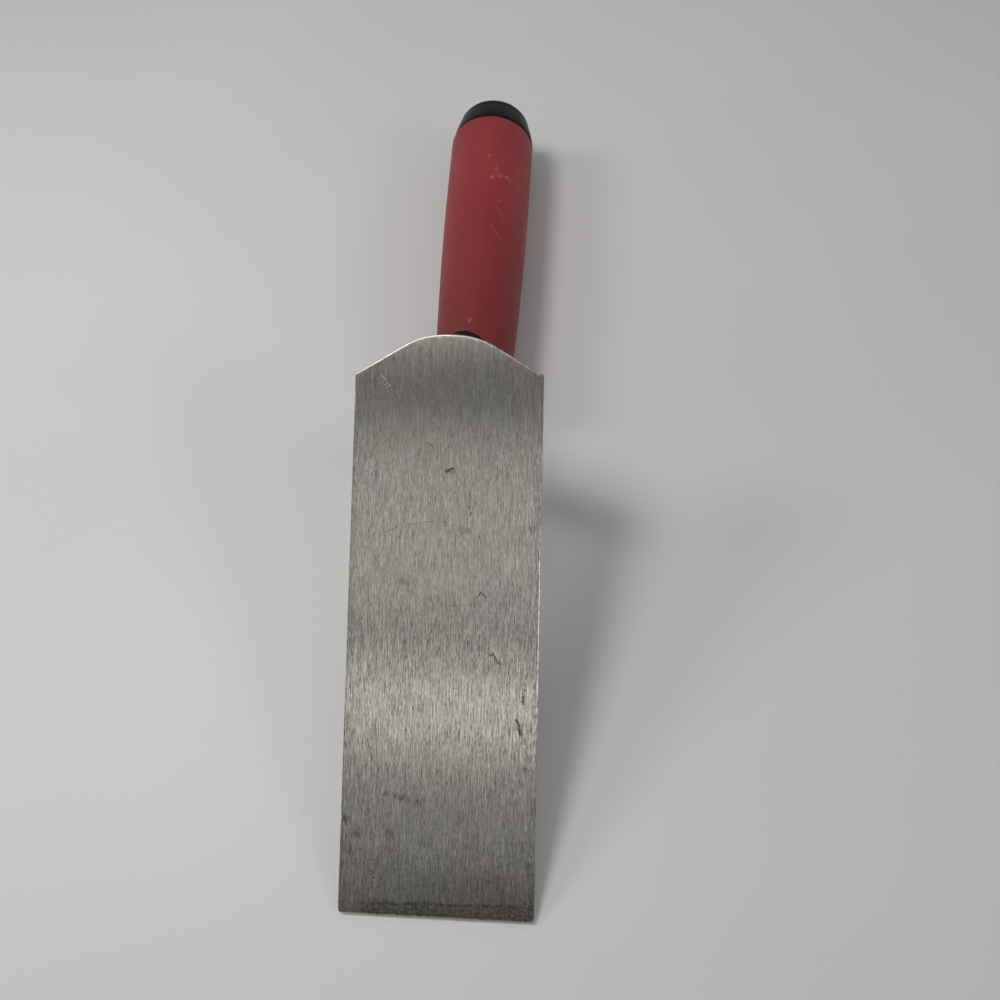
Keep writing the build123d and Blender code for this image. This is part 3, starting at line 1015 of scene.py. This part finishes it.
def make_shank():
    """Forging: wedge foot that flows into a round neck, one bend and a square tang."""
    count = 96
    rings = [
        stadium(front, back, half_width, BLADE_THICKNESS + depth, count)
        for depth, front, back, half_width in FOOT_SECTIONS
    ]

    corner_run = (NECK_STATION - BLADE_LENGTH) / math.cos(AXIS_SLOPE)
    corner = handle_point(corner_run)
    turn = math.pi / 2 - AXIS_SLOPE
    setback = NECK_BEND_RADIUS * math.tan(turn / 2)
    bend_start = corner + Vector((0, 0, setback))
    centre = bend_start + Vector((0, NECK_BEND_RADIUS, 0))

    side = Vector((1, 0, 0))

    def round_ring(middle, forward, radius):
        """Circle across the neck; forward is the way the neck runs."""
        up = forward.cross(side)
        return [
            middle + side * radius * math.cos(angle) - up * radius * math.sin(angle)
            for angle in around(count)
        ]

    down = Vector((0, 0, -1))
    top_depth = BLADE_THICKNESS + FOOT_SECTIONS[-1][0]
    straight = -top_depth - bend_start.z
    for step in range(1, 9):
        middle = Vector((0, NECK_STATION, -top_depth - straight * step / 9))
        rings.append(round_ring(middle, down, NECK_RADIUS))
    for step in range(25):
        angle = turn * step / 24
        forward = Vector((0, math.sin(angle), -math.cos(angle)))
        middle = centre + Vector((0, -math.cos(angle), -math.sin(angle))) * NECK_BEND_RADIUS
        rings.append(round_ring(middle, forward, NECK_RADIUS))
    along = Vector((0, math.cos(AXIS_SLOPE), -math.sin(AXIS_SLOPE)))
    first_station = corner_run + setback
    for step in range(1, 7):
        station = first_station + (TANG_START - first_station) * step / 6
        rings.append(round_ring(handle_point(station), along, NECK_RADIUS))

    def square_ring(station, half):
        """Square with broken corners across the tang."""
        up = along.cross(side)
        ring = []
        for angle in around(count):
            reach = half / max(abs(math.cos(angle)), abs(math.sin(angle)))
            reach = min(reach, half * 1.32)
            ring.append(
                handle_point(station)
                + side * reach * math.cos(angle)
                - up * reach * math.sin(angle)
            )
        return ring

    rings.append(square_ring(TANG_START + 0.2, TANG_ROOT_WIDTH / 2))
    for share in (0.33, 0.66, 1.0):
        station = TANG_START + (TANG_END - TANG_START) * share
        half = (TANG_ROOT_WIDTH + (TANG_END_WIDTH - TANG_ROOT_WIDTH) * share) / 2
        rings.append(square_ring(station, half))
    verts, faces = rings_to_mesh(rings)
    faces = [tuple(reversed(face)) for face in faces]
    return add_piece(
        "gooseneck_shank", verts, faces, TOOL,
        forged_steel_material(), "shank", 45.0,
    )


def make_weld():
    """Rippled fillet bead round the foot on the blade's back."""
    straight = FOOT_BACK - FOOT_FRONT - FOOT_WIDTH
    radius = FOOT_WIDTH / 2
    length = 2 * straight + 2 * math.pi * radius
    count = 620
    ring_points = 12
    rings = []
    for k in range(count):
        run = length * k / count
        point, outward = foot_outline(run, straight, radius)
        ripple = 0.10 * math.sin(2 * math.pi * run / WELD_RIPPLE_PITCH)
        ripple += 0.12 * noise.noise(Vector((point.x * 0.35, point.y * 0.35, 2.2)))
        leg = WELD_LEG + ripple
        ring = []
        for angle in around(ring_points):
            across = 0.5 * leg * (1 + math.cos(angle)) - 0.25
            deep = 0.5 * leg * (1 + math.sin(angle)) - 0.15
            # The bead's outer side is a rounded slope, its inner corner stays buried
            cut = max(0.0, (across + deep) / leg - 1.12)
            across -= 0.35 * cut * leg
            deep -= 0.35 * cut * leg
            place = point + outward * max(across, -0.1)
            ring.append((place.x, place.y, -BLADE_THICKNESS - max(deep, -0.02)))
        rings.append(ring)
    verts, faces = rings_to_mesh(rings, close_ends=False)
    faces += bridge((count - 1) * ring_points, 0, ring_points)
    return add_piece(
        "weld_bead", verts, faces, TOOL, weld_material(), "foot_weld", 60.0
    )


def foot_outline(run, straight, radius):
    """Point on the foot's outline and its outward direction, a run along it from +x."""
    low = FOOT_FRONT + radius
    high = FOOT_BACK - radius
    arc = math.pi * radius
    if run < straight:
        return Vector((radius, low + run)), Vector((1, 0))
    run -= straight
    if run < arc:
        out = Vector((math.cos(run / radius), math.sin(run / radius)))
        return Vector((0, high)) + out * radius, out
    run -= arc
    if run < straight:
        return Vector((-radius, high - run)), Vector((-1, 0))
    run -= straight
    out = Vector((-math.cos(run / radius), -math.sin(run / radius)))
    return Vector((0, low)) + out * radius, out


# ---- stage, light, camera


def make_floor():
    """Pale, faintly uneven table top."""
    size = 3.0
    mesh = bpy.data.meshes.new("table_top")
    verts = [(-size, -size, 0), (size, -size, 0), (size, size, 0), (-size, size, 0)]
    mesh.from_pydata(verts, [], [(0, 1, 2, 3)])
    table = bpy.data.objects.new("table_top", mesh)
    bpy.context.scene.collection.objects.link(table)
    s = Shader("pale_table")
    cloud = s.noise(5.0, detail=3.0, rough=0.5)
    speck = s.noise(160.0, detail=2.0, rough=0.6, offset=(3, 3, 0))
    colour = s.mix(s.ramp(cloud, 0.3, 0.7), (0.70, 0.70, 0.703), (0.73, 0.73, 0.735))
    colour = s.mix(s.ramp(speck, 0.68, 0.8, 0.0, 0.12), colour, (0.60, 0.59, 0.58))
    s.surface(Base_Color=colour, Roughness=s.ramp(cloud, 0.3, 0.7, 0.42, 0.55, False))
    mesh.materials.append(s.material)


def make_world():
    """Soft room light: a ceiling that is brightest in a band on the viewer's side."""
    world = bpy.data.worlds.new("soft_room")
    bpy.context.scene.world = world
    world.use_nodes = True
    nodes = Nodes(world.node_tree)
    place = nodes.add("ShaderNodeTexCoord").outputs["Generated"]
    way = nodes.fill(nodes.add("ShaderNodeSeparateXYZ"), Vector=place).outputs
    lean = nodes.math("ARCTAN2", way["Y"], way["Z"])
    ceiling = nodes.add("ShaderNodeValToRGB")
    nodes.fill(ceiling, Fac=nodes.ramp(lean, -math.pi / 2, math.pi / 2, smooth_step=False))
    knots = ceiling.color_ramp.elements
    knots[0].color = (0.5, 0.5, 0.5, 1)
    knots[1].color = (0.42, 0.42, 0.42, 1)
    for degrees, light in CEILING:
        knots.new((degrees + 90.0) / 180.0).color = (light * 1.01, light, light * 0.985, 1)
    # The bands fade to a plain wall on the left and the right
    blend = nodes.add("ShaderNodeMixRGB")
    nodes.fill(blend, Fac=nodes.ramp(nodes.unsigned(way["X"]), 0.60, 0.90))
    nodes.fill(blend, Color1=ceiling.outputs["Color"], Color2=(0.30, 0.30, 0.297))
    nodes.fill(world.node_tree.nodes["Background"], Color=blend.outputs["Color"])


# Ceiling brightness against lean: degrees from straight up, negative towards the viewer
CEILING = (
    (-85.0, 0.48), (-72.0, 0.40), (-60.0, 0.30), (-52.0, 0.20), (-47.0, 0.08),
    (-44.0, 0.19), (-41.0, 0.37), (-38.5, 0.29), (-36.0, 0.68), (-33.5, 0.97),
    (-31.0, 0.49), (-28.5, 0.35), (-26.0, 0.57), (-20.0, 0.55), (-17.3, 0.50),
    (-15.4, 0.19), (-12.5, 0.172), (-10.0, 0.172), (-3.0, 0.178), (8.0, 0.14), (25.0, 0.21),
    (50.0, 0.31), (80.0, 0.42),
)


def add_area(name, direction, distance, size, power, colour=(1, 1, 1)):
    """Soft lamp in a direction from the middle of the tool, facing it."""
    lamp = bpy.data.lights.new(name, "AREA")
    lamp.shape = "DISK"
    lamp.size = size
    lamp.energy = power
    lamp.color = colour
    holder = bpy.data.objects.new(name, lamp)
    bpy.context.scene.collection.objects.link(holder)
    aim = Vector((0, 0, 0.03))
    way = Vector(direction).normalized()
    holder.location = aim + way * distance
    holder.rotation_euler = way.to_track_quat("Z", "Y").to_euler()
    holder.visible_camera = False


def make_lights():
    """A broad lamp high on the left, and weak low ones from the left and the right."""
    add_area("key_left", (-0.41, 0.04, 0.91), 0.55, 0.19, 1.07, (1.0, 0.99, 0.97))
    add_area("low_left", (-0.81, 0.05, 0.58), 1.20, 0.30, 2.3, (1.0, 0.99, 0.98))
    add_area("fill_right", (0.78, -0.35, 0.53), 1.20, 0.30, 1.3, (1.0, 0.95, 0.98))


def make_camera():
    """Camera above the tip end, looking down over the blade towards the heel."""
    place = Vector((0.0349, -0.1626, 0.2587))
    aim = Vector((0.0099, -0.0180, 0.0))
    roll = math.radians(-7.66)
    data = bpy.data.cameras.new("camera")
    data.sensor_width = 36.0
    data.lens = 33.3
    data.clip_start = 0.01
    camera = bpy.data.objects.new("camera", data)
    bpy.context.scene.collection.objects.link(camera)
    turn = (aim - place).to_track_quat("-Z", "Y").to_matrix().to_4x4()
    camera.matrix_world = Matrix.Translation(place) @ turn @ Matrix.Rotation(roll, 4, "Z")
    bpy.context.scene.camera = camera


bpy.context.scene.view_settings.view_transform = "Standard"
make_floor()
make_world()
make_lights()
make_camera()
make_blade()
make_shank()
make_weld()
make_core()
make_grip()
make_cap()
